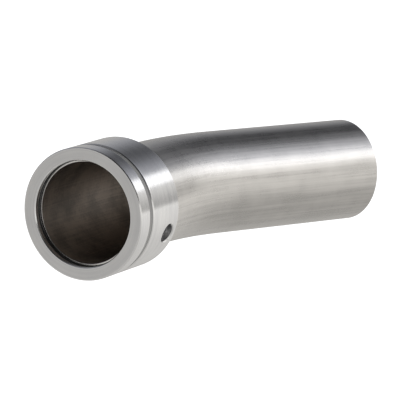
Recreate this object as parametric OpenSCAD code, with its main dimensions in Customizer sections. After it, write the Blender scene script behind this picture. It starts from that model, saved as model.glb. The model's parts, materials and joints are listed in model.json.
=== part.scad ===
// Flue elbow with a swivel collar.
// Origin: centre of the collar's front face. +Y runs along the collar's axis into
// the elbow, the tube bends towards +X, and +Z is up. Millimetres.

/* [Tube] */
// Outside diameter of the flue tube
tube_od = 60; // [56:0.5:64]
// Wall thickness of the flue tube
tube_wall = 1.2; // [1:0.1:2.5]
// How far the outlet runs sideways for each unit of its length (0.352 is a 20.6 degree bend)
outlet_side = 0.352; // [0.28, 0.352, 0.5376]
// Centre-line radius of the bend, in tube diameters
bend_ratio = 3; // [1.5:0.1:4]
// Straight length from the tube's front rim to the bend
inlet_len = 63.5; // [55:0.5:120]
// Straight length from the bend to the plain end
outlet_len = 107.5; // [40:0.5:200]

/* [Collar] */
// Outside diameter of the front ring and the swivel ring
collar_od = 75; // [73:0.5:80]
// Length of the collar, from its front face to the swivel ring's rear face
collar_len = 43.5; // [40:0.5:55]
// Width of the front ring
front_ring_w = 10; // [8:0.5:14]
// Width of the gap between the front ring and the swivel ring
gap_w = 4; // [3:0.5:6]
// Distance from the front face back to the tube's rim
rim_depth = 5; // [4:0.5:7]
// Wall thickness of the hub that carries the swivel ring
hub_wall = 2.95; // [2.5:0.05:3.5]
// Chamfer on the front ring's outer edge and on the mouth
front_chamfer = 0.5; // [0.4:0.1:1.5]
// Chamfer on the swivel ring's edges
ring_chamfer = 0.5; // [0.4:0.1:1.2]

/* [Locking holes] */
// Diameter of the radial locking holes
lock_hole_d = 11; // [6:0.5:11]
// Distance from the collar's front face to the holes' centres
lock_hole_y = 34.5; // [32:0.5:36]
// How far below the horizontal the first hole points, in degrees
lock_hole_angle = 15; // [-90:0.5:90]
// Number of locking holes, evenly spaced
lock_hole_count = 2; // [1:1:3]
// Depth of the countersink at each hole's edge
lock_countersink = 0.6; // [0.3:0.1:1]

/* [Bearing and retaining parts] */
// Running clearance between the hub and what turns on it
running_gap = 0.05; // [0.02:0.01:0.1]
// Free gap between the swivel ring and the fixed parts
free_gap = 0.3; // [0.2:0.05:0.5]
// Radial thickness of the slide bush
bush_t = 1.45; // [1:0.05:2]
// Length of the slide bush
bush_len = 13; // [8:0.5:14]
// Outside diameter of the front thrust washer, which is the floor of the gap
front_washer_od = 74; // [69:0.5:74.5]
// Outside diameter of the rear thrust washer
rear_washer_od = 71; // [69:0.5:72]
// Thickness of the rear thrust washer
rear_washer_t = 1.4; // [1:0.1:2]
// Thickness of the retaining ring
retainer_t = 1.4; // [1:0.1:2]
// Radial height of the retaining ring
retainer_h = 3.4; // [3:0.1:4]
// Depth of the retaining ring's groove in the hub
retainer_groove = 1.2; // [0.8:0.1:1.5]
// Width of the opening in the retaining ring
retainer_opening = 9; // [5:0.5:14]

/* [Seal and weld] */
// Radius of the mouth seal's cross-section
seal_r = 1; // [0.8:0.05:1.5]
// Leg length of the fillet weld between the hub and the tube
weld_leg = 2.6; // [2:0.1:2.8]

/* [Hidden] */

$fn = 144;
// Overlap that keeps a cutting tool clear of the face it cuts
cut = 1;

tube_r = tube_od / 2;
tube_bore_r = tube_r - tube_wall;
bend_r = bend_ratio * tube_od;
bend_start_y = rim_depth + inlet_len;
// Half size of the blocks that trim the bend, large enough to hold all of it
trim = 2 * (bend_r + tube_od);
outlet_along = sqrt(1 - outlet_side * outlet_side);
// Turn about Z that takes +Y to the outlet's direction
outlet_turn = [
    [outlet_along, outlet_side, 0, 0],
    [-outlet_side, outlet_along, 0, 0],
    [0, 0, 1, 0],
    [0, 0, 0, 1]
];

collar_r = collar_od / 2;
sleeve_bore_r = tube_r + running_gap;
hub_r = sleeve_bore_r + hub_wall;
ring_front_y = front_ring_w + gap_w;
ring_bore_r = hub_r + free_gap;

bush_bore_r = hub_r + running_gap;
bush_r = bush_bore_r + bush_t;
bush_front_y = ring_front_y + 1.5;

rear_washer_y = collar_len + free_gap;
retainer_y = rear_washer_y + rear_washer_t;
retainer_bore_r = hub_r - retainer_groove;
hub_end_y = retainer_y + retainer_t + 1.9;

// The locking track is a shallow groove round the hub below the locking holes
lock_track_depth = 1;

// The seal lies in a groove just in front of the tube's rim
seal_y = rim_depth - seal_r - 0.1;
seal_ring_r = sleeve_bore_r + seal_r - 0.35;
seal_groove_r = seal_ring_r + seal_r;
seal_groove_front_y = seal_y - seal_r;

// Ring turned about the Y axis from an outline of [radius, y] points
module turned(outline) {
    rotate([-90, 0, 0])
        rotate_extrude()
            polygon(outline);
}

// Plain ring about the Y axis
module plain_ring(bore_r, outer_r, front_y, length) {
    turned([
        [bore_r, front_y], [outer_r, front_y],
        [outer_r, front_y + length], [bore_r, front_y + length]
    ]);
}

// Straight rod from the origin along +Y, its seam on the outside of the bend
module straight_rod(radius, length) {
    rotate([-90, 180, 0])
        cylinder(r = radius, h = length);
}

// Rod round the bend's centre at the origin, from the -X axis to the outlet's direction
module bend_rod(radius) {
    intersection() {
        rotate_extrude()
            translate([bend_r, 0])
                circle(r = radius);
        translate([-trim, 0, -trim])
            cube([trim, trim, 2 * trim]);
        multmatrix(outlet_turn)
            translate([-trim, -trim, -trim])
                cube([2 * trim, trim, 2 * trim]);
    }
}

// Solid rod along the tube's centre line, made longer by `extra` at both ends
module bent_rod(radius, extra) {
    translate([0, rim_depth - extra, 0])
        straight_rod(radius, inlet_len + extra);
    translate([bend_r, bend_start_y, 0]) {
        bend_rod(radius);
        multmatrix(outlet_turn)
            translate([-bend_r, 0, 0])
                straight_rod(radius, outlet_len + extra);
    }
}

// One bent tube: straight inlet, bend towards +X, straight plain end
module elbow_tube() {
    color([0.58, 0.57, 0.55])
        difference() {
            bent_rod(tube_r, 0);
            bent_rod(tube_bore_r, cut);
        }
}

// Front ring and hub, turned in one piece, that the tube is pushed into
module end_sleeve() {
    color([0.74, 0.74, 0.74])
        difference() {
            turned([
                [sleeve_bore_r + front_chamfer, 0],
                [collar_r - front_chamfer, 0],
                [collar_r, front_chamfer],
                [collar_r, front_ring_w - front_chamfer / 2],
                [collar_r - front_chamfer / 2, front_ring_w],
                [hub_r, front_ring_w],
                [hub_r, hub_end_y],
                [sleeve_bore_r, hub_end_y],
                [sleeve_bore_r, front_chamfer]
            ]);
            plain_ring(tube_bore_r, seal_groove_r, seal_groove_front_y, rim_depth - seal_groove_front_y);
            plain_ring(hub_r - lock_track_depth, collar_r, lock_hole_y - lock_hole_d / 2, lock_hole_d);
            plain_ring(retainer_bore_r, collar_r, retainer_y, retainer_t);
        }
}

// Fillet weld between the hub's rear end and the tube
module tube_weld() {
    color([0.5, 0.48, 0.45])
        turned([
            [tube_r, hub_end_y],
            [tube_r + weld_leg, hub_end_y],
            [tube_r + weld_leg * 0.55, hub_end_y + weld_leg * 0.6],
            [tube_r, hub_end_y + weld_leg]
        ]);
}

// Round sealing ring in the groove inside the mouth
module mouth_seal() {
    color([0.07, 0.07, 0.07])
        rotate([-90, 0, 0])
            translate([0, 0, seal_y])
                rotate_extrude()
                    translate([seal_ring_r, 0])
                        circle(r = seal_r);
}

// Thrust washer that fills the gap between the front ring and the swivel ring
module front_thrust_washer() {
    color([0.45, 0.45, 0.46])
        plain_ring(bush_bore_r, front_washer_od / 2, front_ring_w, gap_w - free_gap);
}

// Plain bearing pressed into the swivel ring
module slide_bush() {
    color([0.3, 0.3, 0.32])
        plain_ring(bush_bore_r, bush_r, bush_front_y, bush_len);
}

// Row of round cutters that points outwards through the swivel ring's wall
module lock_hole_cutters() {
    for (i = [0 : lock_hole_count - 1])
        translate([0, lock_hole_y, 0])
            rotate([0, 90 + lock_hole_angle + i * 360 / lock_hole_count, 0]) {
                translate([0, 0, hub_r / 2])
                    cylinder(d = lock_hole_d, h = hub_r);
                translate([0, 0, collar_r - lock_countersink])
                    cylinder(
                        r1 = lock_hole_d / 2,
                        r2 = lock_hole_d / 2 + lock_countersink + cut,
                        h = lock_countersink + cut
                    );
            }
}

// Wide ring that turns on the hub, with the locking holes
module swivel_ring() {
    color([0.78, 0.78, 0.78])
        difference() {
            turned([
                [ring_bore_r, ring_front_y],
                [collar_r - ring_chamfer, ring_front_y],
                [collar_r, ring_front_y + ring_chamfer],
                [collar_r, collar_len - ring_chamfer],
                [collar_r - ring_chamfer, collar_len],
                [ring_bore_r, collar_len]
            ]);
            plain_ring(hub_r, bush_r, bush_front_y, bush_len);
            lock_hole_cutters();
        }
}

// Thrust washer between the swivel ring and the retaining ring
module rear_thrust_washer() {
    color([0.45, 0.45, 0.46])
        plain_ring(bush_bore_r, rear_washer_od / 2, rear_washer_y, rear_washer_t);
}

// Open spring ring in the hub's groove
module retaining_ring() {
    color([0.35, 0.35, 0.37])
        difference() {
            plain_ring(retainer_bore_r, retainer_bore_r + retainer_h, retainer_y, retainer_t);
            translate([-retainer_opening / 2, retainer_y - cut, 0])
                cube([retainer_opening, retainer_t + 2 * cut, collar_r]);
        }
}

elbow_tube();
end_sleeve();
tube_weld();
mouth_seal();
front_thrust_washer();
slide_bush();
swivel_ring();
rear_thrust_washer();
retaining_ring();
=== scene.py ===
"""Looks of the flue elbow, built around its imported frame.

Everything is in metres and in the frame's own axes: the origin is the centre of the collar's
front face, +Y runs along the collar's axis into the elbow, the tube bends towards +X, +Z is up.
"""

import json
import logging
import math
from dataclasses import dataclass, field
from enum import Enum
from typing import Any, Mapping, Sequence

import bpy
import numpy as np
from mathutils import Matrix, Vector


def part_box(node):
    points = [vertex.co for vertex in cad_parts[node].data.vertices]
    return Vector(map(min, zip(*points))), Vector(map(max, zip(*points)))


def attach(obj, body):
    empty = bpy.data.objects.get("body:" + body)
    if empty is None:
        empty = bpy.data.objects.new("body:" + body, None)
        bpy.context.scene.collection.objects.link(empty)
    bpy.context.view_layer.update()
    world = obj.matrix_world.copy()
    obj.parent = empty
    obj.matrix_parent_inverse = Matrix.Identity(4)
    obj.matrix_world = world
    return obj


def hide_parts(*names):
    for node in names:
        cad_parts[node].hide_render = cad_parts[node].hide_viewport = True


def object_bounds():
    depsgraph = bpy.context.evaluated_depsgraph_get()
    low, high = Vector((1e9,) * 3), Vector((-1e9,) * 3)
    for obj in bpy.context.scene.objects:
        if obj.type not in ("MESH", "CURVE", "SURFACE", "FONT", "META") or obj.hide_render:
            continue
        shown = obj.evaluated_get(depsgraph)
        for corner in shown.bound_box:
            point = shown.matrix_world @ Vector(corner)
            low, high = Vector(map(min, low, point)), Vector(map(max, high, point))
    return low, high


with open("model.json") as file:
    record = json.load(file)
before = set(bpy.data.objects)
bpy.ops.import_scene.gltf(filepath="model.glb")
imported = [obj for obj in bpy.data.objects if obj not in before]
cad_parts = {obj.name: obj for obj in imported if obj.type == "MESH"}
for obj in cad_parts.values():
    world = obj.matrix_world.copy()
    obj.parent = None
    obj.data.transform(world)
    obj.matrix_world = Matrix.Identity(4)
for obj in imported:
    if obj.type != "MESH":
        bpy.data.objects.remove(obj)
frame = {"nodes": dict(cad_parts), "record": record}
CAD_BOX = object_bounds()

LOG = logging.getLogger("flue_elbow")
MM = 0.001
SAME_RADIUS = 1e-7


class Body(Enum):
    """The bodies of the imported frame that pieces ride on."""

    ELBOW = "elbow"
    SWIVEL = "swivel"


class Slot(Enum):
    """The record's material slots."""

    TUBE = "tube_steel"
    TURNED = "turned_steel"
    WELD = "weld_steel"
    SPRING = "spring_steel"
    POLYMER = "slide_polymer"
    RUBBER = "seal_rubber"


class Lay(Enum):
    """The way that a metal finish's fine marks run."""

    AROUND = "around the axis"
    ALONG = "along the tube"


# ---------------------------------------------------------------- sizes read from the frame


def node_points(node: str) -> np.ndarray:
    """Vertices of a CAD node at rest.

    Args:
        node: The node's name.

    Returns:
        An array of shape (n, 3).
    """
    vertices = frame["nodes"][node].data.vertices
    flat = np.zeros(len(vertices) * 3, np.float32)
    vertices.foreach_get("co", flat)
    return flat.reshape(-1, 3).astype(float)


def radii_at(node: str, y: float) -> tuple[float, float]:
    """Smallest and largest distance from the Y axis of a node's vertices in one plane.

    Args:
        node: The node's name.
        y: The plane's place along Y.

    Returns:
        The smallest and the largest radius.
    """
    points = node_points(node)
    near = points[np.abs(points[:, 1] - y) < 0.01 * MM]
    radii = np.hypot(near[:, 0], near[:, 2])
    return float(radii.min()), float(radii.max())


@dataclass(frozen=True)
class RingSize:
    """Bore radius, outer radius, front and back of a ring about the Y axis."""

    bore: float
    outer: float
    front: float
    back: float

    @classmethod
    def of_node(cls, node: str) -> "RingSize":
        """Reads a ring's size from its CAD node."""
        points = node_points(node)
        radii = np.hypot(points[:, 0], points[:, 2])
        low, high = points[:, 1].min(), points[:, 1].max()
        return cls(float(radii.min()), float(radii.max()), float(low), float(high))


def mount(name: str) -> Mapping[str, Any]:
    """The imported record's mount of that name."""
    return next(m for m in frame["record"]["mounts"] if m["name"] == name)


# ---------------------------------------------------------------- paths and outlines


@dataclass(frozen=True)
class Path:
    """A straight inlet along +Y, a bend towards +X and a straight outlet.

    With `turn` at nought it is the Y axis itself, which is what turned pieces are swept on.
    """

    start: float = 0.0
    inlet: float = 0.0
    bend_radius: float = 1.0
    turn: float = 0.0
    outlet: float = 0.0

    @property
    def length(self) -> float:
        """Length of the whole centre line."""
        return self.inlet + self.bend_radius * self.turn + self.outlet

    def at(self, along: np.ndarray) -> tuple[np.ndarray, np.ndarray, np.ndarray]:
        """Centre, side vector and direction at distances from the start.

        The bend's angle is the distance past the inlet over the bend's radius, held between
        nought and the whole turn; what lies before or after it runs on straight.

        Args:
            along: Distances from the path's start.

        Returns:
            The centre, the unit vector towards the inside of the bend, and the unit direction.
        """
        past = along - self.inlet
        angle = np.clip(past / self.bend_radius, 0, self.turn)
        before = np.minimum(past, 0) if self.turn else past
        after = np.maximum(past - self.bend_radius * self.turn, 0) if self.turn else 0 * past
        nought = np.zeros_like(angle)
        direction = np.stack([np.sin(angle), np.cos(angle), nought], -1)
        side = np.stack([np.cos(angle), -np.sin(angle), nought], -1)
        arc = np.stack([1 - np.cos(angle), np.sin(angle), nought], -1) * self.bend_radius
        centre = arc + direction * (before + after)[..., None]
        centre[..., 1] += self.start + self.inlet
        return centre, side, direction


Y_AXIS = Path()


@dataclass
class Outline:
    """A line of [radius, along] points with their outward normals.

    The edge mask is 1 on rounded corners and 0 elsewhere; finishes lighten the colour there,
    partly as edge wear and partly as a painted highlight along the edges.
    """

    points: np.ndarray
    normals: np.ndarray
    wear: np.ndarray

    def with_rows(
        self, radius: float, rows: np.ndarray, margin: float = 0.05 * MM
    ) -> "Outline":
        """Puts points at given rows where the outline runs straight at one radius.

        Points that were between the first row and the last are left out.

        Args:
            radius: The straight stretch's radius.
            rows: Places along the axis, in any order.
            margin: How far past the rows points are still left out.

        Returns:
            The outline with the rows in it.
        """
        level = np.abs(self.points[:, 0] - radius) < SAME_RADIUS
        place = self.points[:, 1]
        inside = (place > rows.min() - margin) & (place < rows.max() + margin)
        left = ~(level & inside)
        points, normals, wear = self.points[left], self.normals[left], self.wear[left]
        there = np.roll(points, -1, 0)
        both = np.abs(np.stack([points, there])[..., 0] - radius).max(0) < SAME_RADIUS
        low, high = np.minimum(points[:, 1], there[:, 1]), np.maximum(points[:, 1], there[:, 1])
        at = int(np.argmax(both & (low < rows.min()) & (high > rows.max())))
        upward = there[at, 1] > points[at, 1]
        ordered = np.sort(rows) if upward else np.sort(rows)[::-1]
        added = np.stack([np.full(len(rows), radius), ordered], -1)
        added_normals = np.repeat(normals[at : at + 1], len(rows), 0)
        return Outline(
            np.insert(points, at + 1, added, 0),
            np.insert(normals, at + 1, added_normals, 0),
            np.insert(wear, at + 1, np.zeros(len(rows)), 0),
        )

    def row_indices(self, radius: float, rows: np.ndarray) -> np.ndarray:
        """Indices of the points that `with_rows` added, from the lowest row to the highest."""
        level = np.abs(self.points[:, 0] - radius) < SAME_RADIUS
        gaps = np.abs(self.points[:, 1][None, :] - np.sort(rows)[:, None]) + 10.0 * ~level
        return np.argmin(gaps, 1)


def rounded(
    corners: Sequence[tuple[float, float, float]],
    closed: bool = True,
    steps: int = 4,
    pitch: float = 4 * MM,
    margin: float = 0.35 * MM,
) -> Outline:
    """Outline through corners, each rounded by an arc.

    An arc of radius f at a corner that turns by t starts f * tan(t / 2) before it and ends as
    far after it, and its points are the arc's centre plus f times the turning normal. Straight
    stretches get a point `margin` away from each arc, and then one every `pitch` or less.

    Args:
        corners: Radius, place along and arc radius, with the solid on the left of the line.
        closed: Whether the last corner joins the first; an open line keeps its ends as they are.
        steps: Steps in each arc.
        pitch: Longest step on a straight stretch.
        margin: Distance over which the edge mask for edge wear and painted highlight fades away
            from an arc.

    Returns:
        The outline.
    """
    given = np.array(corners, float)
    corner, arc_r = given[:, :2], given[:, 2]
    to_here = corner - np.roll(corner, 1, 0)
    from_here = np.roll(corner, -1, 0) - corner
    if not closed:
        to_here[0], from_here[-1] = from_here[0], to_here[-1]
    unit_in = to_here / np.linalg.norm(to_here, axis=1, keepdims=True)
    unit_out = from_here / np.linalg.norm(from_here, axis=1, keepdims=True)
    cross = unit_in[:, 0] * unit_out[:, 1] - unit_in[:, 1] * unit_out[:, 0]
    turn = np.arctan2(cross, (unit_in * unit_out).sum(1))
    reach = arc_r * np.tan(np.abs(turn) / 2)
    way = np.sign(turn)[:, None]
    normal_in = np.stack([unit_in[:, 1], -unit_in[:, 0]], -1)
    centre = corner - unit_in * reach[:, None] - way * normal_in * arc_r[:, None]
    angle = turn[:, None] * np.linspace(0, 1, steps + 1)[None, :]
    cos, sin = np.cos(angle), np.sin(angle)
    arc_normal = np.stack(
        [
            cos * normal_in[:, :1] - sin * normal_in[:, 1:],
            sin * normal_in[:, :1] + cos * normal_in[:, 1:],
        ],
        -1,
    )
    arc_point = centre[:, None] + (way * arc_r[:, None])[..., None] * arc_normal
    points, normals, wear = [], [], []
    for i in range(len(corner)):
        if closed or 0 < i < len(corner) - 1:
            points.append(arc_point[i])
            normals.append(arc_normal[i])
            wear.append(np.full(steps + 1, float(arc_r[i] > 0)))
        else:
            points.append(corner[i : i + 1])
            normals.append(arc_normal[i, :1])
            wear.append(np.zeros(1))
        if i == len(corner) - 1 and not closed:
            break
        after = (i + 1) % len(corner)
        begin = arc_point[i, -1] if closed or i else corner[0]
        end = arc_point[after, 0] if closed or after < len(corner) - 1 else corner[-1]
        length = float(np.linalg.norm(end - begin))
        if length > 3 * margin:
            inner = length - 2 * margin
            parts = max(1, math.ceil(inner / pitch))
            shares = (margin + inner * np.linspace(0, 1, parts + 1)) / length
            points.append(begin + (end - begin) * shares[:, None])
            normals.append(np.repeat(arc_normal[i, -1:], parts + 1, 0))
            wear.append(np.zeros(parts + 1))
    return Outline(np.concatenate(points), np.concatenate(normals), np.concatenate(wear))


def round_section(ring_r: float, y: float, section_r: float, count: int) -> Outline:
    """Circle of `section_r` about [ring_r, y]: the centre plus the radius times (cos, sin).

    Args:
        ring_r: Distance of the section's centre from the axis.
        y: Place of the section's centre along the axis.
        section_r: The section's radius.
        count: Points round the section.

    Returns:
        The outline.
    """
    angle = np.linspace(0, math.tau, count, endpoint=False)
    normal = np.stack([np.cos(angle), np.sin(angle)], -1)
    return Outline(np.array([ring_r, y]) + section_r * normal, normal, np.zeros(count))


# ---------------------------------------------------------------- meshes


@dataclass
class MeshBuilder:
    """Gathers shared points and groups of four-sided faces, and makes one mesh of them.

    Each point keeps `lay`, its place on the piece before the piece is bent, which the finishes
    read, an edge mask that finishes turn into edge wear and a painted highlight, and `facing`,
    which is 1 where a turned face looks along the axis and in drilled holes. Each face group
    has its own corner normals, so edges can stay crisp while the points are shared and the
    shell stays closed.
    """

    name: str
    points: list[np.ndarray] = field(default_factory=list)
    lays: list[np.ndarray] = field(default_factory=list)
    wear_and_sheen_masks: list[np.ndarray] = field(default_factory=list)
    facings: list[np.ndarray] = field(default_factory=list)
    quads: list[np.ndarray] = field(default_factory=list)
    normals: list[np.ndarray] = field(default_factory=list)
    maps: list[np.ndarray] = field(default_factory=list)
    finishes: list[np.ndarray] = field(default_factory=list)
    count: int = 0

    def add_points(
        self, points: np.ndarray, lay: np.ndarray, wear: np.ndarray, facing: np.ndarray
    ) -> np.ndarray:
        """Adds points of any leading shape and returns their indices in that shape."""
        shape = points.shape[:-1]
        self.facings.append(np.broadcast_to(facing, shape).reshape(-1))
        self.points.append(points.reshape(-1, 3))
        self.lays.append(lay.reshape(-1, 3))
        self.wear_and_sheen_masks.append(np.broadcast_to(wear, shape).reshape(-1))
        index = np.arange(self.count, self.count + int(np.prod(shape))).reshape(shape)
        self.count += index.size
        return index

    def add_quads(
        self,
        index: np.ndarray,
        normals: np.ndarray,
        uv: np.ndarray,
        keep: np.ndarray | None = None,
        finish: int = 0,
    ) -> None:
        """Joins each 2 by 2 block of an index grid by a face.

        Args:
            index: Point indices, shape (a, b).
            normals: Corner normals, shape (a, b, 3).
            uv: Corner map places, shape (a, b, 2).
            keep: Which of the (a - 1, b - 1) faces to make, all of them if None.
            finish: Index of the faces' material.
        """

        def blocks(grid: np.ndarray) -> np.ndarray:
            """The four corners of each block, in order round it."""
            corners = [grid[:-1, :-1], grid[1:, :-1], grid[1:, 1:], grid[:-1, 1:]]
            stacked = np.stack(corners, 2)
            chosen = stacked if keep is None else stacked[keep]
            return chosen.reshape(-1, 4, *grid.shape[2:])

        made = blocks(index)
        self.quads.append(made)
        self.normals.append(blocks(normals))
        self.maps.append(blocks(uv))
        self.finishes.append(np.full(len(made), finish))

    def build(self, materials: Sequence[bpy.types.Material]) -> bpy.types.Object:
        """Makes the object, with every face turned to agree with its corner normals.

        Args:
            materials: The materials that face groups name by index.

        Returns:
            The object, linked into the scene and at the origin.
        """
        points = np.concatenate(self.points)
        quads = np.concatenate(self.quads)
        normals = np.concatenate(self.normals)
        maps = np.concatenate(self.maps)
        one = points[quads[:, 2]] - points[quads[:, 0]]
        other = points[quads[:, 3]] - points[quads[:, 1]]
        inward = (np.cross(one, other) * normals.mean(1)).sum(1) < 0
        for corners in (quads, normals, maps):
            corners[inward] = corners[inward][:, ::-1]
        mesh = bpy.data.meshes.new(self.name)
        mesh.vertices.add(len(points))
        mesh.vertices.foreach_set("co", points.astype(np.float32).ravel())
        mesh.loops.add(quads.size)
        mesh.loops.foreach_set("vertex_index", quads.astype(np.int32).ravel())
        mesh.polygons.add(len(quads))
        mesh.polygons.foreach_set("loop_start", np.arange(0, quads.size, 4, dtype=np.int32))
        mesh.polygons.foreach_set("use_smooth", np.ones(len(quads), bool))
        mesh.polygons.foreach_set("material_index", np.concatenate(self.finishes).astype(np.int32))
        mesh.update(calc_edges=True)
        mesh.uv_layers.new(name="UVMap").data.foreach_set("uv", maps.astype(np.float32).ravel())
        lay = mesh.attributes.new("lay", "FLOAT_VECTOR", "POINT")
        lay.data.foreach_set("vector", np.concatenate(self.lays).astype(np.float32).ravel())
        for name, values in (("wear", self.wear_and_sheen_masks), ("facing", self.facings)):
            attribute = mesh.attributes.new(name, "FLOAT", "POINT")
            attribute.data.foreach_set("value", np.concatenate(values).astype(np.float32))
        mesh.validate()
        mesh.normals_split_custom_set(normals.reshape(-1, 3).tolist())
        for material in materials:
            mesh.materials.append(material)
        made = bpy.data.objects.new(self.name, mesh)
        bpy.context.scene.collection.objects.link(made)
        return made


def closed_round(grid: np.ndarray, axis: int) -> np.ndarray:
    """The grid with its first line repeated after its last, along one axis."""
    first = np.take(grid, [0], axis)
    return np.concatenate([grid, first], axis)


@dataclass
class Sweep:
    """An outline carried along a path and all the way round it.

    A point is the path's centre, plus the radius times (cos(angle) * side + sin(angle) * up).
    Its normal is the outline's radial part on that spoke plus its other part on the direction.
    """

    outline: Outline
    path: Path
    angles: np.ndarray

    def __post_init__(self) -> None:
        """Works out the whole grid, with shape (angles, outline points)."""
        radius, along = self.outline.points.T
        centre, side, direction = self.path.at(along)
        angle = self.angles[:, None, None]
        spoke = np.cos(angle) * side[None] + np.sin(angle) * np.array([0.0, 0.0, 1.0])
        self.points = centre[None] + radius[None, :, None] * spoke
        radial, forward = self.outline.normals.T
        self.normals = spoke * radial[None, :, None] + direction[None] * forward[None, :, None]
        plain = np.stack(np.broadcast_arrays(np.cos(angle[..., 0]), 0.0, np.sin(angle[..., 0])), -1)
        self.lay = plain * radius[None, :, None]
        self.lay[..., 1] += self.path.start + along[None]
        self.wear = self.outline.wear[None]
        self.facing = np.abs(self.outline.normals[:, 1])[None]

    def uv(self) -> np.ndarray:
        """Map with the share of a turn across and the distance round the outline up."""
        step = np.linalg.norm(np.roll(self.outline.points, -1, 0) - self.outline.points, axis=1)
        up = np.concatenate([[0.0], np.cumsum(step)])
        across = np.linspace(0, 1, len(self.angles) + 1)
        return np.stack(np.meshgrid(across, up / up[-1], indexing="ij"), -1)

    def add_to(
        self,
        builder: MeshBuilder,
        keep: np.ndarray | None = None,
        finish_rows: np.ndarray | None = None,
    ) -> np.ndarray:
        """Adds the closed sweep to a mesh.

        Args:
            builder: The mesh being made.
            keep: Which faces to make.
            finish_rows: For each outline step, the index of its material.

        Returns:
            The grid of point indices.
        """
        index = builder.add_points(self.points, self.lay, self.wear, self.facing)
        whole = [closed_round(closed_round(grid, 0), 1) for grid in (index, self.normals)]
        if finish_rows is None:
            builder.add_quads(*whole, self.uv(), keep)
            return index
        for finish in np.unique(finish_rows):
            rows = np.broadcast_to(finish_rows[None] == finish, self.points.shape[:2])
            builder.add_quads(*whole, self.uv(), rows if keep is None else rows & keep, int(finish))
        return index


def turns(count: int, first: float = 0.0) -> np.ndarray:
    """Evenly spaced angles all the way round, from `first` on."""
    return first + np.linspace(0, math.tau, count, endpoint=False)


# ---------------------------------------------------------------- shader graphs


class Value:
    """A number that comes out of a shader node, for use in Python expressions."""

    def __init__(self, graph: "Graph", socket: bpy.types.NodeSocket) -> None:
        """Wraps one output socket of a graph's node."""
        self.graph = graph
        self.socket = socket

    def __add__(self, other: "Value | float") -> "Value":
        """This plus the other."""
        return self.graph.math("ADD", self, other)

    def __radd__(self, other: float) -> "Value":
        """The other plus this."""
        return self.graph.math("ADD", other, self)

    def __sub__(self, other: "Value | float") -> "Value":
        """This less the other."""
        return self.graph.math("SUBTRACT", self, other)

    def __rsub__(self, other: float) -> "Value":
        """The other less this."""
        return self.graph.math("SUBTRACT", other, self)

    def __mul__(self, other: "Value | float") -> "Value":
        """This times the other."""
        return self.graph.math("MULTIPLY", self, other)

    def __rmul__(self, other: float) -> "Value":
        """The other times this."""
        return self.graph.math("MULTIPLY", other, self)

    def __truediv__(self, other: "Value | float") -> "Value":
        """This over the other."""
        return self.graph.math("DIVIDE", self, other)

    def __rtruediv__(self, other: float) -> "Value":
        """The other over this."""
        return self.graph.math("DIVIDE", other, self)

    def __pow__(self, other: float) -> "Value":
        """This to a power."""
        return self.graph.math("POWER", self, other)


@dataclass
class Graph:
    """A material's or world's node tree, with short ways to add to it."""

    tree: bpy.types.NodeTree

    def node(
        self,
        kind: str,
        settings: Mapping[str, Any] | None = None,
        inputs: Mapping[Any, Any] | None = None,
    ) -> bpy.types.Node:
        """Adds a node.

        Args:
            kind: The node's type.
            settings: Its properties.
            inputs: Values, sockets or `Value`s by input name or number.

        Returns:
            The node.
        """
        made = self.tree.nodes.new(kind)
        for name, setting in (settings or {}).items():
            setattr(made, name, setting)
        for name, value in (inputs or {}).items():
            if isinstance(value, Value):
                value = value.socket
            if isinstance(value, bpy.types.NodeSocket):
                self.tree.links.new(value, made.inputs[name])
            else:
                made.inputs[name].default_value = value
        return made

    def math(self, operation: str, *values: "Value | float") -> Value:
        """One Math node."""
        made = self.node("ShaderNodeMath", {"operation": operation}, dict(enumerate(values)))
        return Value(self, made.outputs[0])

    def smooth(self, value: Value, low: float, high: float) -> Value:
        """Rises smoothly from 0 at `low` to 1 at `high`, or falls if `high` is the lower one."""
        ends = (low, high, 0.0, 1.0) if high > low else (high, low, 1.0, 0.0)
        names = ("From Min", "From Max", "To Min", "To Max")
        inputs = {"Value": value, **dict(zip(names, ends))}
        made = self.node("ShaderNodeMapRange", {"interpolation_type": "SMOOTHSTEP"}, inputs)
        return Value(self, made.outputs[0])

    def dot(self, vector: bpy.types.NodeSocket, axis: Sequence[float]) -> Value:
        """A vector's share along a fixed axis."""
        made = self.node("ShaderNodeVectorMath", {"operation": "DOT_PRODUCT"}, {0: vector, 1: axis})
        return Value(self, made.outputs["Value"])

    def stretched(self, parts: Sequence["Value | float"]) -> bpy.types.NodeSocket:
        """A vector made of three numbers."""
        return self.node("ShaderNodeCombineXYZ", {}, dict(enumerate(parts))).outputs[0]

    def noise(self, vector: bpy.types.NodeSocket, detail: float = 2.0) -> Value:
        """Noise between 0 and 1, with features about as wide as one unit of the vector."""
        inputs = {"Vector": vector, "Scale": 1.0, "Detail": detail, "Roughness": 0.5}
        made = self.node("ShaderNodeTexNoise", {"noise_dimensions": "3D"}, inputs)
        return Value(self, made.outputs[0])

    def blend(self, share: "Value | float", first: Any, second: Any) -> bpy.types.NodeSocket:
        """A colour between two colours, which may be fixed or come from a node."""
        colors = [(*c, 1.0) if isinstance(c, tuple) else c for c in (first, second)]
        inputs = {0: share, 6: colors[0], 7: colors[1]}
        made = self.node("ShaderNodeMix", {"data_type": "RGBA", "clamp_factor": True}, inputs)
        return made.outputs[2]

    def bump(self, height: Value) -> bpy.types.NodeSocket:
        """A normal that a height in metres has tilted."""
        inputs = {"Height": height, "Distance": 1.0, "Strength": 1.0}
        return self.node("ShaderNodeBump", {}, inputs).outputs[0]


Color = tuple[float, float, float]


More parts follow.
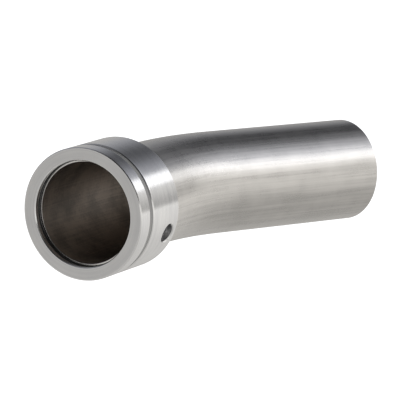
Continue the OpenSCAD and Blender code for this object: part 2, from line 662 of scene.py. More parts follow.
@dataclass
class SurfacePlace:
    """Where a shaded point is on its piece, before the piece was bent."""

    graph: Graph

    def __post_init__(self) -> None:
        """Reads the `lay` and `facing` attributes and the edge mask for edge wear and painted
        highlight.
        """
        lay = self.graph.node("ShaderNodeAttribute", {"attribute_name": "lay"})
        parts = self.graph.node("ShaderNodeSeparateXYZ", {}, {0: lay.outputs["Vector"]})
        self.x, self.y, self.z = (Value(self.graph, out) for out in parts.outputs)
        self.wear = self.attribute("wear")
        self.facing = self.attribute("facing")

    def attribute(self, name: str) -> Value:
        """A number that every point of the mesh keeps."""
        made = self.graph.node("ShaderNodeAttribute", {"attribute_name": name})
        return Value(self.graph, made.outputs["Fac"])

    def radius(self) -> Value:
        """Distance from the axis."""
        return (self.x * self.x + self.z * self.z) ** 0.5

    def grain(self, lay: Lay, across: float, along: float, detail: float = 2.0) -> Value:
        """Noise in long marks.

        Marks that run around the axis change quickly with the radius and the place along it,
        weighted unequally so that no chamfer falls in step with them. Marks that run along the
        tube change quickly round it instead.

        Args:
            lay: The way that the marks run.
            across: Width of a mark, in metres.
            along: Length of a mark, in metres.
            detail: Octaves of finer noise.

        Returns:
            The noise, from 0 to 1.
        """
        if lay is Lay.AROUND:
            step = (self.radius() + 0.83 * self.y) / across
            parts = (self.x / along, step, self.z / along)
        else:
            parts = (self.x / across, self.y / along, self.z / across)
        return self.graph.noise(self.graph.stretched(parts), detail)

    def cloud(self, size: float, detail: float = 3.0) -> Value:
        """Soft patches about as wide as `size`, in metres."""
        parts = (self.x / size, self.y / size, self.z / size)
        return self.graph.noise(self.graph.stretched(parts), detail)


def new_material(name: str) -> tuple[bpy.types.Material, Graph]:
    """An empty node material and its graph."""
    material = bpy.data.materials.new(name)
    material.use_nodes = True
    material.node_tree.nodes.clear()
    return material, Graph(material.node_tree)


def close_material(graph: Graph, inputs: Mapping[str, Any]) -> None:
    """Ends a material's graph in a Principled shader with those inputs."""
    shader = graph.node("ShaderNodeBsdfPrincipled", {}, inputs)
    graph.node("ShaderNodeOutputMaterial", {}, {"Surface": shader.outputs[0]})


@dataclass(frozen=True)
class MetalFinish:
    """A machined or brushed metal surface.

    Fine marks give the sheen its direction, broad marks vary the gloss and the shade, clouds
    are handling marks and smudges, and rounded edges get a lighter colour, partly edge wear
    and partly a painted highlight.
    """

    name: str
    light: Color
    dark: Color
    # Lighter edge colour: partly edge wear, partly a painted highlight along the edges.
    worn_sheen_color: Color
    roughness: float
    gloss_spread: float
    lay: Lay
    fine_width: float
    fine_height: float
    broad_width: float
    broad_height: float
    cloud_size: float
    cloud_height: float = 0.0
    faced_roughness: float = 0.2

    def make(self) -> bpy.types.Material:
        """Builds the material."""
        material, graph = new_material(self.name)
        place = SurfacePlace(graph)
        fine = place.grain(self.lay, self.fine_width, 30 * MM)
        broad = place.grain(self.lay, self.broad_width, 60 * MM, 3.0)
        cloud = place.cloud(self.cloud_size)
        shade = graph.smooth(0.6 * broad + 0.4 * cloud, 0.3, 0.7)
        color = graph.blend(shade, self.dark, self.light)
        # Rounded edges get the lighter colour: partly edge wear, partly a painted highlight.
        color = graph.blend(place.wear * 0.7, color, self.worn_sheen_color)
        gloss = self.gloss_spread * (0.5 * broad + 0.2 * fine + 0.3 * cloud - 0.5)
        faced = place.facing**4.0
        roughness = self.roughness + gloss - 0.04 * place.wear + self.faced_roughness * faced
        height = self.fine_height * fine + self.broad_height * broad + self.cloud_height * cloud
        inputs = {
            "Base Color": color,
            "Metallic": 1.0,
            "Roughness": roughness,
            "Normal": graph.bump(height),
        }
        close_material(graph, inputs)
        return material


@dataclass(frozen=True)
class BentTubeFinish:
    """Brushed drawn tube, with rubbing marks across it where the bending tool pressed."""

    name: str
    light: Color
    dark: Color
    # Lighter rim colour: partly edge wear, partly a painted highlight along the rims.
    worn_sheen_color: Color
    roughness: float
    bend_from: float
    bend_to: float

    def make(self) -> bpy.types.Material:
        """Builds the material."""
        material, graph = new_material(self.name)
        place = SurfacePlace(graph)
        hair = place.grain(Lay.ALONG, 0.35 * MM, 30 * MM)
        streak = place.grain(Lay.ALONG, 2.2 * MM, 120 * MM, 3.0)
        scratch = graph.smooth(place.grain(Lay.ALONG, 0.5 * MM, 14 * MM, 1.0), 0.66, 0.76)
        cloud = place.cloud(14 * MM)
        ends = graph.smooth(place.y, self.bend_from - 14 * MM, self.bend_from + 6 * MM)
        in_bend = ends * graph.smooth(place.y, self.bend_to + 22 * MM, self.bend_to - 8 * MM)
        rub = in_bend * place.grain(Lay.AROUND, 1.1 * MM, 9 * MM, 3.0)
        mottle = in_bend * place.cloud(3.2 * MM, 2.0)
        shade = graph.smooth(0.45 * streak + 0.3 * cloud + 0.25 * hair, 0.36, 0.64)
        color = graph.blend(shade, self.dark, self.light)
        color = graph.blend(0.28 * rub + 0.12 * scratch, color, self.dark)
        # The rounded rims get the lighter colour: partly edge wear, partly a painted highlight.
        color = graph.blend(place.wear * 0.6, color, self.worn_sheen_color)
        spread = 0.10 * (streak - 0.5) + 0.08 * (cloud - 0.5) + 0.05 * (hair - 0.5)
        roughness = self.roughness + spread + 0.10 * (mottle - 0.5 * in_bend) - 0.05 * place.wear
        height = 1.5e-5 * hair + 2.2e-5 * streak + 2.4e-5 * rub + 4.0e-5 * mottle
        height = height + 7.0e-5 * cloud - 0.8e-5 * scratch
        inputs = {
            "Base Color": color,
            "Metallic": 1.0,
            "Roughness": roughness,
            "Normal": graph.bump(height),
        }
        close_material(graph, inputs)
        return material


@dataclass(frozen=True)
class BoreFinish:
    """Dull brown-grey inside of the tube, with drawing lines and patches of oxide."""

    name: str
    light: Color
    dark: Color
    roughness: float

    def make(self) -> bpy.types.Material:
        """Builds the material."""
        material, graph = new_material(self.name)
        place = SurfacePlace(graph)
        line = place.grain(Lay.ALONG, 0.9 * MM, 60 * MM, 3.0)
        patch = place.cloud(20 * MM, 3.0)
        grit = place.cloud(1.6 * MM, 2.0)
        shade = graph.smooth(0.22 * line + 0.63 * patch + 0.15 * grit, 0.38, 0.62)
        color = graph.blend(shade, self.dark, self.light)
        roughness = self.roughness + 0.16 * (patch - 0.5) + 0.10 * (line - 0.5)
        height = 1.2e-5 * line + 4.0e-5 * patch + 0.6e-5 * grit
        inputs = {
            "Base Color": color,
            "Metallic": 0.85,
            "Roughness": roughness,
            "Normal": graph.bump(height),
        }
        close_material(graph, inputs)
        return material


@dataclass(frozen=True)
class WeldFinish:
    """Weld bead with straw and blue heat colours between its ripples."""

    name: str
    silver: Color
    straw: Color
    blue: Color
    middle: float

    def make(self) -> bpy.types.Material:
        """Builds the material."""
        material, graph = new_material(self.name)
        place = SurfacePlace(graph)
        patch = place.cloud(5 * MM)
        grit = place.cloud(0.5 * MM, 2.0)
        edge = graph.smooth(place.y, self.middle - 0.3 * MM, self.middle + 1.2 * MM)
        tint = graph.blend(graph.smooth(patch, 0.35, 0.65), self.straw, self.blue)
        color = graph.blend(0.25 + 0.55 * edge * patch, self.silver, tint)
        roughness = 0.30 + 0.25 * patch + 0.10 * grit
        inputs = {
            "Base Color": color,
            "Metallic": 1.0,
            "Roughness": roughness,
            "Normal": graph.bump(2.0e-5 * grit + 4.0e-5 * patch),
        }
        close_material(graph, inputs)
        return material


@dataclass(frozen=True)
class MouldedFinish:
    """Polymer or rubber: fine grained, not metallic, with faint scuffs."""

    name: str
    base: Color
    scuffed: Color
    roughness: float
    grain_size: float
    grain_height: float

    def make(self) -> bpy.types.Material:
        """Builds the material."""
        material, graph = new_material(self.name)
        place = SurfacePlace(graph)
        grain = place.cloud(self.grain_size, 2.0)
        scuff = graph.smooth(place.grain(Lay.AROUND, 0.4 * MM, 18 * MM), 0.50, 0.75)
        patch = place.cloud(7 * MM)
        color = graph.blend(0.35 * scuff + 0.25 * patch, self.base, self.scuffed)
        roughness = self.roughness + 0.14 * (patch - 0.5) + 0.10 * (grain - 0.5) - 0.08 * scuff
        height = self.grain_height * grain + 0.4e-5 * scuff
        inputs = {
            "Base Color": color,
            "Metallic": 0.0,
            "Roughness": roughness,
            "Normal": graph.bump(height),
        }
        close_material(graph, inputs)
        return material


# ---------------------------------------------------------------- sub-assemblies


def dress(piece: bpy.types.Object, body: Body, node: str) -> bpy.types.Object:
    """Puts a piece on its body, in place of its CAD node.

    Args:
        piece: The new piece.
        body: The body that it rides on.
        node: The CAD node that it stands for.

    Returns:
        The piece.
    """
    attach(piece, body.value)
    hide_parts(node)
    LOG.info("%s: %d faces on %s", piece.name, len(piece.data.polygons), body.value)
    return piece


def turned_piece(
    name: str, outline: Outline, material: bpy.types.Material, count: int = 288
) -> bpy.types.Object:
    """A closed solid of revolution about the Y axis."""
    builder = MeshBuilder(name)
    Sweep(outline, Y_AXIS, turns(count)).add_to(builder)
    return builder.build([material])


@dataclass
class FlueTube:
    """The bent tube: its sizes come from the spigot and bore mounts and the tube's box."""

    edge_round: float = 0.22 * MM
    columns: int = 224
    row_pitch: float = 2.4 * MM
    outer_r: float = field(init=False)
    bore_r: float = field(init=False)
    path: Path = field(init=False)

    def __post_init__(self) -> None:
        """Works out the centre line.

        The outlet's axis meets the collar's axis at a corner. The outlet's straight length is
        known, so what is left between its end and the corner is the bend's tangent length,
        which is the bend's radius times the tangent of half the turn.
        """
        spigot = mount("spigot")
        self.outer_r = spigot["dims"]["r_mm"] * MM
        self.bore_r = mount("outlet_bore")["dims"]["r_mm"] * MM
        across, ahead, _ = spigot["axis"]
        low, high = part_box("elbow_tube")
        outlet = spigot["dims"]["length_mm"] * MM
        corner = spigot["pos_m"][1] - spigot["pos_m"][0] * ahead / across
        end = high.y - self.outer_r * across
        tangent = (end - corner) / ahead - outlet
        turn = math.atan2(across, ahead)
        radius = tangent / math.tan(turn / 2)
        self.path = Path(low.y, corner - tangent - low.y, radius, turn, outlet)

    def bend_span(self) -> tuple[float, float]:
        """Where the bend starts and ends, as places along the straightened tube."""
        start = self.path.start + self.path.inlet
        return start, start + self.path.bend_radius * self.path.turn

    def build(self, outside: bpy.types.Material, inside: bpy.types.Material) -> bpy.types.Object:
        """Sweeps the wall's outline along the centre line, with rounded rims.

        Args:
            outside: Finish of the outer wall and the rims.
            inside: Finish of the bore.

        Returns:
            The tube.
        """
        length, edge = self.path.length, self.edge_round
        corners = [
            (self.outer_r, 0.0, edge),
            (self.outer_r, length, edge),
            (self.bore_r, length, edge),
            (self.bore_r, 0.0, edge),
        ]
        outline = rounded(corners, pitch=self.row_pitch)
        in_bore = (outline.points[:, 0] < self.bore_r + 1e-6) & (outline.normals[:, 0] < -0.99)
        builder = MeshBuilder("FlueTube")
        sweep = Sweep(outline, self.path, turns(self.columns, math.radians(-150)))
        sweep.add_to(builder, finish_rows=in_bore.astype(int))
        return dress(builder.build([outside, inside]), Body.ELBOW, "elbow_tube")


@dataclass
class Collar:
    """Front ring and hub in one turned piece, with its weld and its mouth seal."""

    hub: RingSize = field(default_factory=lambda: RingSize.of_node("end_sleeve"))
    seal: RingSize = field(default_factory=lambda: RingSize.of_node("mouth_seal"))
    washer: RingSize = field(default_factory=lambda: RingSize.of_node("front_thrust_washer"))
    retainer: RingSize = field(default_factory=lambda: RingSize.of_node("retaining_ring"))
    weld: RingSize = field(default_factory=lambda: RingSize.of_node("tube_weld"))
    break_round: float = 0.10 * MM
    inner_round: float = 0.06 * MM
    track_depth: float = 1.0 * MM
    ripple_pitch: float = 1.7 * MM
    ripple_height: float = 0.16 * MM

    def sleeve_outline(self) -> Outline:
        """Outline of the ring and hub, with every corner broken by a small arc."""
        mouth_r, face_r = radii_at("end_sleeve", self.hub.front)
        outer, bore = self.hub.outer, self.hub.bore
        chamfer = outer - face_r
        hub_r = radii_at("end_sleeve", self.hub.back)[1]
        rear = self.washer.front
        hole = mount("lock_hole")
        hole_y, hole_r = hole["pos_m"][1], hole["dims"]["r_mm"] * MM
        track = (hole_y - hole_r, hole_y + hole_r)
        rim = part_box("elbow_tube")[0].y
        edge, inner = self.break_round, self.inner_round
        corners = [
            (face_r, 0.0, edge),
            (outer, chamfer, edge),
            (outer, rear - chamfer / 2, edge),
            (outer - chamfer / 2, rear, edge),
            (hub_r, rear, 0.3 * MM),
            (hub_r, track[0], inner),
            (hub_r - self.track_depth, track[0], inner),
            (hub_r - self.track_depth, track[1], inner),
            (hub_r, track[1], inner),
            (hub_r, self.retainer.front, inner),
            (self.retainer.bore, self.retainer.front, inner),
            (self.retainer.bore, self.retainer.back, inner),
            (hub_r, self.retainer.back, inner),
            (hub_r, self.hub.back, edge),
            (bore, self.hub.back, edge),
            (bore, rim, inner),
            (self.seal.outer, rim, inner),
            (self.seal.outer, self.seal.front, inner),
            (bore, self.seal.front, inner),
            (bore, mouth_r - bore, edge),
            (mouth_r, 0.0, edge),
        ]
        return rounded(corners)

    def build_sleeve(self, material: bpy.types.Material) -> bpy.types.Object:
        """The front ring and hub."""
        piece = turned_piece("CollarSleeve", self.sleeve_outline(), material)
        return dress(piece, Body.ELBOW, "end_sleeve")

    def build_seal(self, material: bpy.types.Material) -> bpy.types.Object:
        """The round sealing ring in the mouth."""
        section = (self.seal.back - self.seal.front) / 2
        middle = (self.seal.back + self.seal.front) / 2
        outline = round_section(self.seal.outer - section, middle, section, 28)
        piece = turned_piece("MouthSeal", outline, material)
        return dress(piece, Body.ELBOW, "mouth_seal")

    def build_weld(self, material: bpy.types.Material) -> bpy.types.Object:
        """The weld bead, a fillet whose open side is rippled.

        Each point moves inwards along its normal by the ripple's height times a raised cosine
        of its angle times the number of ripples, which lags towards the bead's edges so that
        the ripples are crescents. The rippled surface's normals come from its differences.
        """
        leg = self.weld.back - self.weld.front
        corners = [
            (self.weld.bore, self.weld.front, 0.05 * MM),
            (self.weld.bore + leg, self.weld.front, 0.3 * MM),
            (self.weld.bore + 0.62 * leg, self.weld.front + 0.62 * leg, 1.2 * MM),
            (self.weld.bore, self.weld.back, 0.2 * MM),
        ]
        outline = rounded(corners, pitch=0.3 * MM, margin=0.15 * MM)
        ripples = round(math.tau * self.weld.bore / self.ripple_pitch)
        sweep = Sweep(outline, Y_AXIS, turns(8 * ripples))
        share = (outline.points[:, 1] - self.weld.front) / leg
        bowed = (share - 0.5) ** 2 * 5.0
        phase = sweep.angles[:, None] * ripples + bowed[None]
        open_side = np.clip(outline.normals.sum(1), 0, 1)[None]
        depth = self.ripple_height * (0.5 - 0.5 * np.cos(phase)) * open_side
        sweep.points = sweep.points - sweep.normals * depth[..., None]
        across = np.roll(sweep.points, -1, 0) - np.roll(sweep.points, 1, 0)
        down = np.roll(sweep.points, -1, 1) - np.roll(sweep.points, 1, 1)
        rough = np.cross(across, down)
        rough = rough / np.maximum(np.linalg.norm(rough, axis=-1, keepdims=True), 1e-12)
        rough = rough * np.sign((rough * sweep.normals).sum(-1, keepdims=True))
        sweep.normals = np.where(open_side[..., None] > 0.3, rough, sweep.normals)
        builder = MeshBuilder("SleeveWeld")
        sweep.add_to(builder)
        return dress(builder.build([material]), Body.ELBOW, "tube_weld")


@dataclass
class SwivelRing:
    """The wide ring that turns on the hub, with its locking holes and its bush."""

    ring: RingSize = field(default_factory=lambda: RingSize.of_node("swivel_ring"))
    bush: RingSize = field(default_factory=lambda: RingSize.of_node("slide_bush"))
    hole_count: int = 2
    countersink: float = 0.6 * MM
    deburr: float = 0.1 * MM
    break_round: float = 0.10 * MM
    inner_round: float = 0.06 * MM
    band_round: float = 0.45 * MM
    columns: int = 288
    patch_columns: int = 20
    patch_rows: int = 16
    band_flat: float = 0.7 * MM
    bore_flat: float = 0.06 * MM
    patch_margin: float = 1.3 * MM
    bore_margin: float = 0.3 * MM

    def __post_init__(self) -> None:
        """Reads the hole's place from its mount."""
        hole = mount("lock_hole")
        self.hole_y = hole["pos_m"][1]
        self.hole_r = hole["dims"]["r_mm"] * MM
        self.hole_angle = math.atan2(hole["pos_m"][2], hole["pos_m"][0])

    def outline(self) -> Outline:
        """Outline of the ring, chamfered outside and grooved inside for the bush."""
        chamfer = self.ring.outer - radii_at("swivel_ring", self.ring.front)[1]
        outer, bore = self.ring.outer, self.ring.bore
        front, back = self.ring.front, self.ring.back
        edge, inner = self.break_round, self.inner_round
        corners = [
            (outer - chamfer, front, edge),
            (outer, front + chamfer, self.band_round),
            (outer, back - chamfer, self.band_round),
            (outer - chamfer, back, edge),
            (bore, back, edge),
            (bore, self.bush.back, inner),
            (self.bush.outer, self.bush.back, inner),
            (self.bush.outer, self.bush.front, inner),
            (bore, self.bush.front, inner),
            (bore, front, edge),
        ]
        return rounded(corners)

    def window_rows(self, reach: float) -> np.ndarray:
        """Evenly spaced rows across a square window that reaches so far from the hole's axis."""
        return self.hole_y + np.linspace(-reach, reach, self.patch_rows + 1)

    def hole_outline(self) -> Outline:
        """Line down through the wall: the distance from the hole's axis, then from the ring's.

        It runs in along the outer band, down the countersink, down the wall, and out again
        along the bore, with every corner rounded.
        """
        outer, bore, r = self.ring.outer, self.ring.bore, self.hole_r
        sink, edge = self.countersink, self.break_round
        deburr, inner = self.deburr, self.inner_round
        corners = [
            (r + sink + self.band_flat, outer, 0.0),
            (r + sink, outer, edge),
            (r, outer - sink, edge),
            (r, bore + deburr, inner),
            (r + deburr, bore, inner),
            (r + deburr + self.bore_flat, bore, 0.0),
        ]
        return rounded(corners, closed=False, pitch=0.8 * MM, margin=0.15 * MM)

    def build_ring(self, material: bpy.types.Material) -> bpy.types.Object:
        """The ring, a turned grid with windows in which the holes are set.

        A window is left out of the band and of the bore round each hole. Its edge points are
        joined to the hole's rings, which are the hole's outline carried round its axis: a ring's
        point is at (a * cos(turn), a * sin(turn)) across the hole, on a cylinder about the Y axis.
        """
        outer_reach = self.hole_r + self.countersink + self.patch_margin
        inner_reach = self.hole_r + self.bore_margin
        outline = self.outline()
        outer_rows, inner_rows = self.window_rows(outer_reach), self.window_rows(inner_reach)
        outline = outline.with_rows(self.ring.outer, outer_rows)
        outline = outline.with_rows(self.ring.bore, inner_rows)
        row_sets = [
            outline.row_indices(self.ring.outer, outer_rows),
            outline.row_indices(self.ring.bore, inner_rows),
        ]
        sweep = Sweep(outline, Y_AXIS, turns(self.columns, self.hole_angle))
        half = self.patch_columns // 2
        keep = np.ones((self.columns, len(outline.points)), bool)
        centres = [i * self.columns // self.hole_count for i in range(self.hole_count)]
        for centre in centres:
            taken = (np.arange(centre - half, centre + half)) % self.columns
            for rows in row_sets:
                low, high = min(rows[0], rows[-1]), max(rows[0], rows[-1])
                keep[np.ix_(taken, np.arange(low, high))] = False
        builder = MeshBuilder("SwivelRing")
        index = sweep.add_to(builder, keep)
        for centre in centres:
            columns = (np.arange(centre - half, centre + half + 1)) % self.columns
            edges = [self.window_edge(index, columns, rows) for rows in row_sets]
            self.add_hole(builder, edges, sweep.points, sweep.angles[centre], index)
        return dress(builder.build([material]), Body.SWIVEL, "swivel_ring")

    def window_edge(self, index: np.ndarray, columns: np.ndarray, rows: np.ndarray) -> np.ndarray:
        """Point indices once round a window, from its first column and lowest row."""
        sides = [
            index[columns[:-1], rows[0]],
            index[columns[-1], rows[:-1]],
            index[columns[:0:-1], rows[-1]],
            index[columns[0], rows[:0:-1]],
        ]
        return np.concatenate(sides)

    def add_hole(
        self,
        builder: MeshBuilder,
        edges: Sequence[np.ndarray],
        grid: np.ndarray,
        centre: float,
        index: np.ndarray,
    ) -> None:
        """Joins the outer window's edge to the bore window's edge through one hole.

        Args:
            builder: The mesh being made.
            edges: Point indices round the outer window and round the bore window.
            grid: The turned grid's points, whose indices are `index`.
            centre: The angle at which the hole's axis points.
            index: The turned grid's point indices.
        """
        points = grid.reshape(-1, 3)
        first = int(index.flat[0])
        axis = np.array([math.cos(centre), 0.0, math.sin(centre)])
        across = np.array([-math.sin(centre), 0.0, math.cos(centre)])
        line = np.array([0.0, 1.0, 0.0])
        turned = []
        for edge in edges:
            place = points[edge - first]
            turned.append(np.unwrap(np.arctan2(place[:, 1] - self.hole_y, place @ across)))
        profile = self.hole_outline()
        share = np.linspace(0, 1, len(profile.points))[:, None]
        turn = (1 - share) * turned[0][None] + share * turned[1][None]
        reach, radius = profile.points[:, 0][:, None], profile.points[:, 1][:, None]
        aside, up = reach * np.cos(turn), reach * np.sin(turn)
        depth = np.sqrt(radius**2 - aside**2)
        middle = line * self.hole_y
        rings = middle + axis * depth[..., None] + across * aside[..., None] + line * up[..., None]
        spoke = across * np.cos(turn)[..., None] + line * np.sin(turn)[..., None]
        radial = (axis * depth[..., None] + across * aside[..., None]) / radius[..., None]
        normals = spoke * profile.normals[:, :1, None] + radial * profile.normals[:, 1:, None]
        normals = normals / np.linalg.norm(normals, axis=-1, keepdims=True)
        drilled = np.clip(2 * np.abs(profile.normals[:, :1]) - 1, 0, 1)
        # The hole's rounded rims carry the edge mask, which finishes turn into edge wear and a
        # painted highlight.
        made = builder.add_points(rings, rings, profile.wear[:, None], drilled)
        outer_place, inner_place = (points[edge - first] for edge in edges)
        outer_normal = outer_place * np.array([1.0, 0.0, 1.0]) / self.ring.outer
        inner_normal = -inner_place * np.array([1.0, 0.0, 1.0]) / self.ring.bore
        all_index = np.concatenate([edges[0][None], made, edges[1][None]])
        all_normals = np.concatenate([outer_normal[None], normals, inner_normal[None]])
        whole_index, whole_normals = closed_round(all_index, 1), closed_round(all_normals, 1)
        up_map = np.linspace(0, 0.06, len(whole_index))
        round_map = np.linspace(0, 0.15, whole_index.shape[1])
        uv = np.stack(np.meshgrid(up_map, round_map, indexing="ij"), -1)
        builder.add_quads(whole_index, whole_normals, uv)

    def build_bush(self, material: bpy.types.Material) -> bpy.types.Object:
        """The plain bearing inside the ring."""
        piece = turned_piece("SlideBush", plain_ring(self.bush, 0.12 * MM), material, 192)
        return dress(piece, Body.SWIVEL, "slide_bush")


def plain_ring(size: RingSize, edge: float) -> Outline:
    """Rectangular outline with rounded corners."""
    corners = [
        (size.outer, size.front, edge),
        (size.outer, size.back, edge),
        (size.bore, size.back, edge),
        (size.bore, size.front, edge),
    ]
    return rounded(corners)


@dataclass
class Retainers:
    """The two thrust washers and the open spring ring that keep the swivel ring in place."""

    washer_round: float = 0.15 * MM
    spring_round: float = 0.18 * MM
    columns: int = 240

    def build_washer(
        self, node: str, name: str, material: bpy.types.Material
    ) -> bpy.types.Object:
        """One thrust washer."""
        outline = plain_ring(RingSize.of_node(node), self.washer_round)
        piece = turned_piece(name, outline, material, self.columns)
        return dress(piece, Body.ELBOW, node)

    def build_spring_ring(self, material: bpy.types.Material) -> bpy.types.Object:
        """The open ring: its outline turned from one side of the opening to the other.

        Both ends are closed by a strip that joins each point of the outline's first half to
        the point that lies opposite it in the second half.
        """
        size = RingSize.of_node("retaining_ring")
        points = node_points("retaining_ring")
        upper = points[(points[:, 2] > size.bore * 0.9) & (points[:, 0] > 0)]
        opening = math.asin(upper[:, 0].min() / size.bore)
        first = math.pi / 2 + opening
        angles = np.linspace(first, first + math.tau - 2 * opening, self.columns)
        outline = plain_ring(size, self.spring_round)
        sweep = Sweep(outline, Y_AXIS, angles)
        builder = MeshBuilder("RetainingRing")
        index = builder.add_points(sweep.points, sweep.lay, sweep.wear, sweep.facing)
        uv = sweep.uv()[:-1]
        builder.add_quads(closed_round(index, 1), closed_round(sweep.normals, 1), uv)
        half = len(outline.points) // 2
        for column, way in ((0, -1.0), (-1, 1.0)):
            strip = np.stack([index[column, :half], index[column, ::-1][:half]])
            facing = way * np.array([-math.sin(angles[column]), 0.0, math.cos(angles[column])])
            normals = np.broadcast_to(facing, (2, half, 3)).copy()
            shape = np.stack(np.meshgrid([0, 0.02], np.linspace(0, 0.1, half), indexing="ij"), -1)
            builder.add_quads(strip, normals, shape)
        return dress(builder.build([material]), Body.ELBOW, "retaining_ring")


# ---------------------------------------------------------------- studio


@dataclass
class Studio:
    """Camera, softbox, surroundings and floor."""

    azimuth: float = 26.67
    elevation: float = 12.96
    roll: float = 5.66
    distance: float = 1.8679
    aim_right: float = 65.24 * MM
    aim_up: float = 7.916 * MM
    focal: float = 303.6
    floor_drop: float = 0.22
    softbox_azimuth: float = -13.0
    softbox_height: float = 27.0
    softbox_width: float = 1.55
    softbox_depth: float = 0.30
    softbox_distance: float = 1.5
    softbox_radiance: float = 1.20

    def __post_init__(self) -> None:
        """Works out the camera's axes: level first, then rolled about the line of sight."""
        turn, rise, roll = (math.radians(a) for a in (self.azimuth, self.elevation, self.roll))
        flat = math.cos(rise)
        back = Vector((math.sin(turn) * flat, -math.cos(turn) * flat, math.sin(rise)))
        level = Vector((math.cos(turn), math.sin(turn), 0.0))
        upright = back.cross(level)
        self.back = back
        self.right = level * math.cos(roll) + upright * math.sin(roll)
        self.up = upright * math.cos(roll) - level * math.sin(roll)

    def place(self, made: bpy.types.Object, x: Vector, y: Vector, z: Vector, at: Vector) -> None:
        """Puts a camera or light at a point with those axes."""
        turned = Matrix((x, y, z)).transposed().to_4x4()
        made.matrix_world = Matrix.Translation(at) @ turned

    def build_camera(self) -> bpy.types.Object:
        """The camera, a long lens that looks into the mouth from the front right."""
        data = bpy.data.cameras.new("Camera")
        data.lens = self.focal
        data.sensor_width = 36.0
        data.clip_end = 50.0
        made = bpy.data.objects.new("Camera", data)
        bpy.context.scene.collection.objects.link(made)
        spot = self.right * self.aim_right + self.up * self.aim_up + self.back * self.distance
        self.place(made, self.right, self.up, self.back, spot)
        bpy.context.scene.camera = made
        return made

    def direction(self, azimuth: float, height: float) -> Vector:
        """A direction in degrees: 0 is to the camera's right, and positive turns to the camera."""
        turn, rise = math.radians(azimuth), math.radians(height)
        flat = self.right * math.cos(turn) + self.back * math.sin(turn)
        return flat * math.cos(rise) + self.up * math.sin(rise)

    def build_softbox(self) -> bpy.types.Object:
        """The large softbox to the right, whose reflection is the long highlight."""
        data = bpy.data.lights.new("Softbox", "AREA")
        data.shape = "RECTANGLE"
        data.size, data.size_y = self.softbox_width, self.softbox_depth
        data.energy = self.softbox_radiance * math.pi * data.size * data.size_y
        made = bpy.data.objects.new("Softbox", data)
        bpy.context.scene.collection.objects.link(made)
        towards = self.direction(self.softbox_azimuth, self.softbox_height)
        aside = self.up.cross(towards).normalized()
        low, high = CAD_BOX
        spot = (low + high) / 2 + towards * self.softbox_distance
        self.place(made, aside, towards.cross(aside), towards, spot)
        made.visible_camera = False
        return made

    def build_world(self) -> bpy.types.World:
        """Surroundings: a pale table below, a bright room to the right and a dim one overhead.

        Brightness is a smooth function of the direction's shares along the camera's right, up
        and back axes at rest, joined at the table's far edge by a thin bright line.
        """
        world = bpy.data.worlds.new("Studio")
        world.use_nodes = True
        world.node_tree.nodes.clear()
        graph = Graph(world.node_tree)
        way = graph.node("ShaderNodeTexCoord").outputs["Generated"]
        right, up, back = (graph.dot(way, axis) for axis in (self.right, self.up, self.back))
        table = 0.60 + 0.46 * graph.smooth(up, -0.65, -0.03) * graph.smooth(right, 0.0, 0.5)
        table = table + 0.12 * graph.smooth(right, -0.2, -0.6)
        low = 0.42 + 0.45 * graph.smooth(right, 0.80, 1.0) + 0.55 * graph.smooth(up, 0.03, 0.36)
        backdrop = 0.45 * graph.smooth(back, -0.68, -0.93)
        high = 0.07 + 0.85 * graph.smooth(right, 0.15, 0.95) * graph.smooth(back, -0.6, -0.1)
        high = high + backdrop + 0.25 * graph.smooth(right, 0.0, -0.6)
        high = high + 0.45 * graph.smooth(up, 0.78, 0.50) * graph.smooth(right, 0.25, 0.70)
        rise = graph.smooth(up, 0.24, 0.40)
        room = low * (1 - rise) * graph.smooth(right, 0.1, 0.6) + high * rise
        room = room + high * (1 - rise) * graph.smooth(right, 0.6, 0.1)
        room = room * (1 - 0.7 * graph.smooth(back, 0.30, 0.65))
        above = graph.smooth(up, -0.012, 0.012)
        edge = 0.5 * graph.smooth(up, -0.035, 0.0) * graph.smooth(up, 0.035, 0.0)
        level = table * (1 - above) + room * above + edge * graph.smooth(right, 0.3, 0.6)
        tint = graph.blend(graph.smooth(up, 0.25, 0.60), (1.02, 1.0, 0.965), (0.96, 0.98, 1.06))
        lit = graph.node("ShaderNodeBackground", {}, {"Color": tint, "Strength": level})
        plain = {"Color": (1.0, 1.0, 1.0, 1.0), "Strength": 1.0}
        white = graph.node("ShaderNodeBackground", {}, plain)
        seen = graph.node("ShaderNodeLightPath").outputs["Is Camera Ray"]
        shaders = {0: seen, 1: lit.outputs[0], 2: white.outputs[0]}
        mixed = graph.node("ShaderNodeMixShader", {}, shaders)
        graph.node("ShaderNodeOutputWorld", {}, {"Surface": mixed.outputs[0]})
        bpy.context.scene.world = world
        return world

    def build_floor(self) -> bpy.types.Object:
        """A plain white floor below the object, which reflections don't pick up."""
        low, high = CAD_BOX
        level, reach = low.z - self.floor_drop, 12.0
        corners = np.array([[-1, -1], [1, -1], [1, 1], [-1, 1]], float) * reach
        points = np.column_stack([corners, np.full(4, level)])
        mesh = bpy.data.meshes.new("Floor")
        mesh.from_pydata(points.tolist(), [], [[0, 1, 2, 3]])
        made = bpy.data.objects.new("Floor", mesh)
        bpy.context.scene.collection.objects.link(made)
        material, graph = new_material("floor_white")
        inputs = {
            "Base Color": (0.90, 0.90, 0.90, 1.0),
            "Roughness": 0.9,
            "Emission Color": (1.0, 1.0, 1.0, 1.0),
            "Emission Strength": 1.0,
        }
        close_material(graph, inputs)
        mesh.materials.append(material)
        made.visible_glossy = False
        made.visible_diffuse = False
        return made

    def build(self) -> None:
        """Builds the whole studio."""
        scene = bpy.context.scene
        scene.view_settings.view_transform = "Standard"
        scene.view_settings.look = "None"
        self.build_camera()
        self.build_softbox()
        self.build_world()
        self.build_floor()


# ---------------------------------------------------------------- the whole object


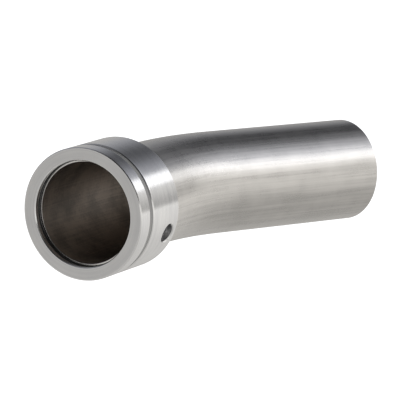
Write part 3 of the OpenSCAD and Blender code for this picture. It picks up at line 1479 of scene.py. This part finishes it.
def turned_steel() -> MetalFinish:
    """Bright turned finish of the collar and the swivel ring."""
    return MetalFinish(
        name="turned_steel",
        light=(0.66, 0.66, 0.66),
        dark=(0.57, 0.57, 0.58),
        worn_sheen_color=(0.78, 0.78, 0.78),
        roughness=0.20,
        gloss_spread=0.12,
        lay=Lay.AROUND,
        fine_width=0.22 * MM,
        fine_height=0.35e-5,
        broad_width=1.3 * MM,
        broad_height=0.5e-5,
        cloud_size=16 * MM,
    )


def spring_steel() -> MetalFinish:
    """Dark tempered finish of the retaining ring."""
    return MetalFinish(
        name="spring_steel",
        light=(0.27, 0.27, 0.29),
        dark=(0.16, 0.16, 0.18),
        worn_sheen_color=(0.45, 0.45, 0.46),
        roughness=0.34,
        gloss_spread=0.14,
        lay=Lay.AROUND,
        fine_width=0.3 * MM,
        fine_height=0.5e-5,
        broad_width=1.5 * MM,
        broad_height=0.4e-5,
        cloud_size=6 * MM,
        cloud_height=1.0e-5,
    )


def main() -> None:
    """Builds the studio, the finishes and every piece, in order."""
    logging.basicConfig(level=logging.INFO, format="%(name)s: %(message)s")
    Studio().build()
    turned = turned_steel().make()
    polymer = MouldedFinish(
        "slide_polymer", (0.31, 0.31, 0.305), (0.40, 0.40, 0.39), 0.42, 0.5 * MM, 1.0e-5
    ).make()
    rubber = MouldedFinish(
        "seal_rubber", (0.012, 0.012, 0.013), (0.035, 0.035, 0.036), 0.42, 0.35 * MM, 0.6e-5
    ).make()
    tube = FlueTube()
    bend_from, bend_to = tube.bend_span()
    outside = BentTubeFinish(
        name="tube_steel",
        light=(0.595, 0.58, 0.56),
        dark=(0.47, 0.46, 0.445),
        worn_sheen_color=(0.75, 0.74, 0.73),
        roughness=0.29,
        bend_from=bend_from,
        bend_to=bend_to,
    ).make()
    inside = BoreFinish("tube_bore", (0.46, 0.40, 0.35), (0.22, 0.195, 0.175), 0.40).make()
    tube.build(outside, inside)
    collar = Collar()
    collar.build_sleeve(turned)
    weld = WeldFinish(
        name="weld_steel",
        silver=(0.50, 0.48, 0.45),
        straw=(0.46, 0.33, 0.17),
        blue=(0.20, 0.23, 0.34),
        middle=collar.weld.front + 1.0 * MM,
    ).make()
    collar.build_weld(weld)
    collar.build_seal(rubber)
    ring = SwivelRing()
    ring.build_ring(turned)
    ring.build_bush(polymer)
    retainers = Retainers()
    retainers.build_washer("front_thrust_washer", "FrontThrustWasher", polymer)
    retainers.build_washer("rear_thrust_washer", "RearThrustWasher", polymer)
    retainers.build_spring_ring(spring_steel().make())


if __name__ == "__main__":
    main()
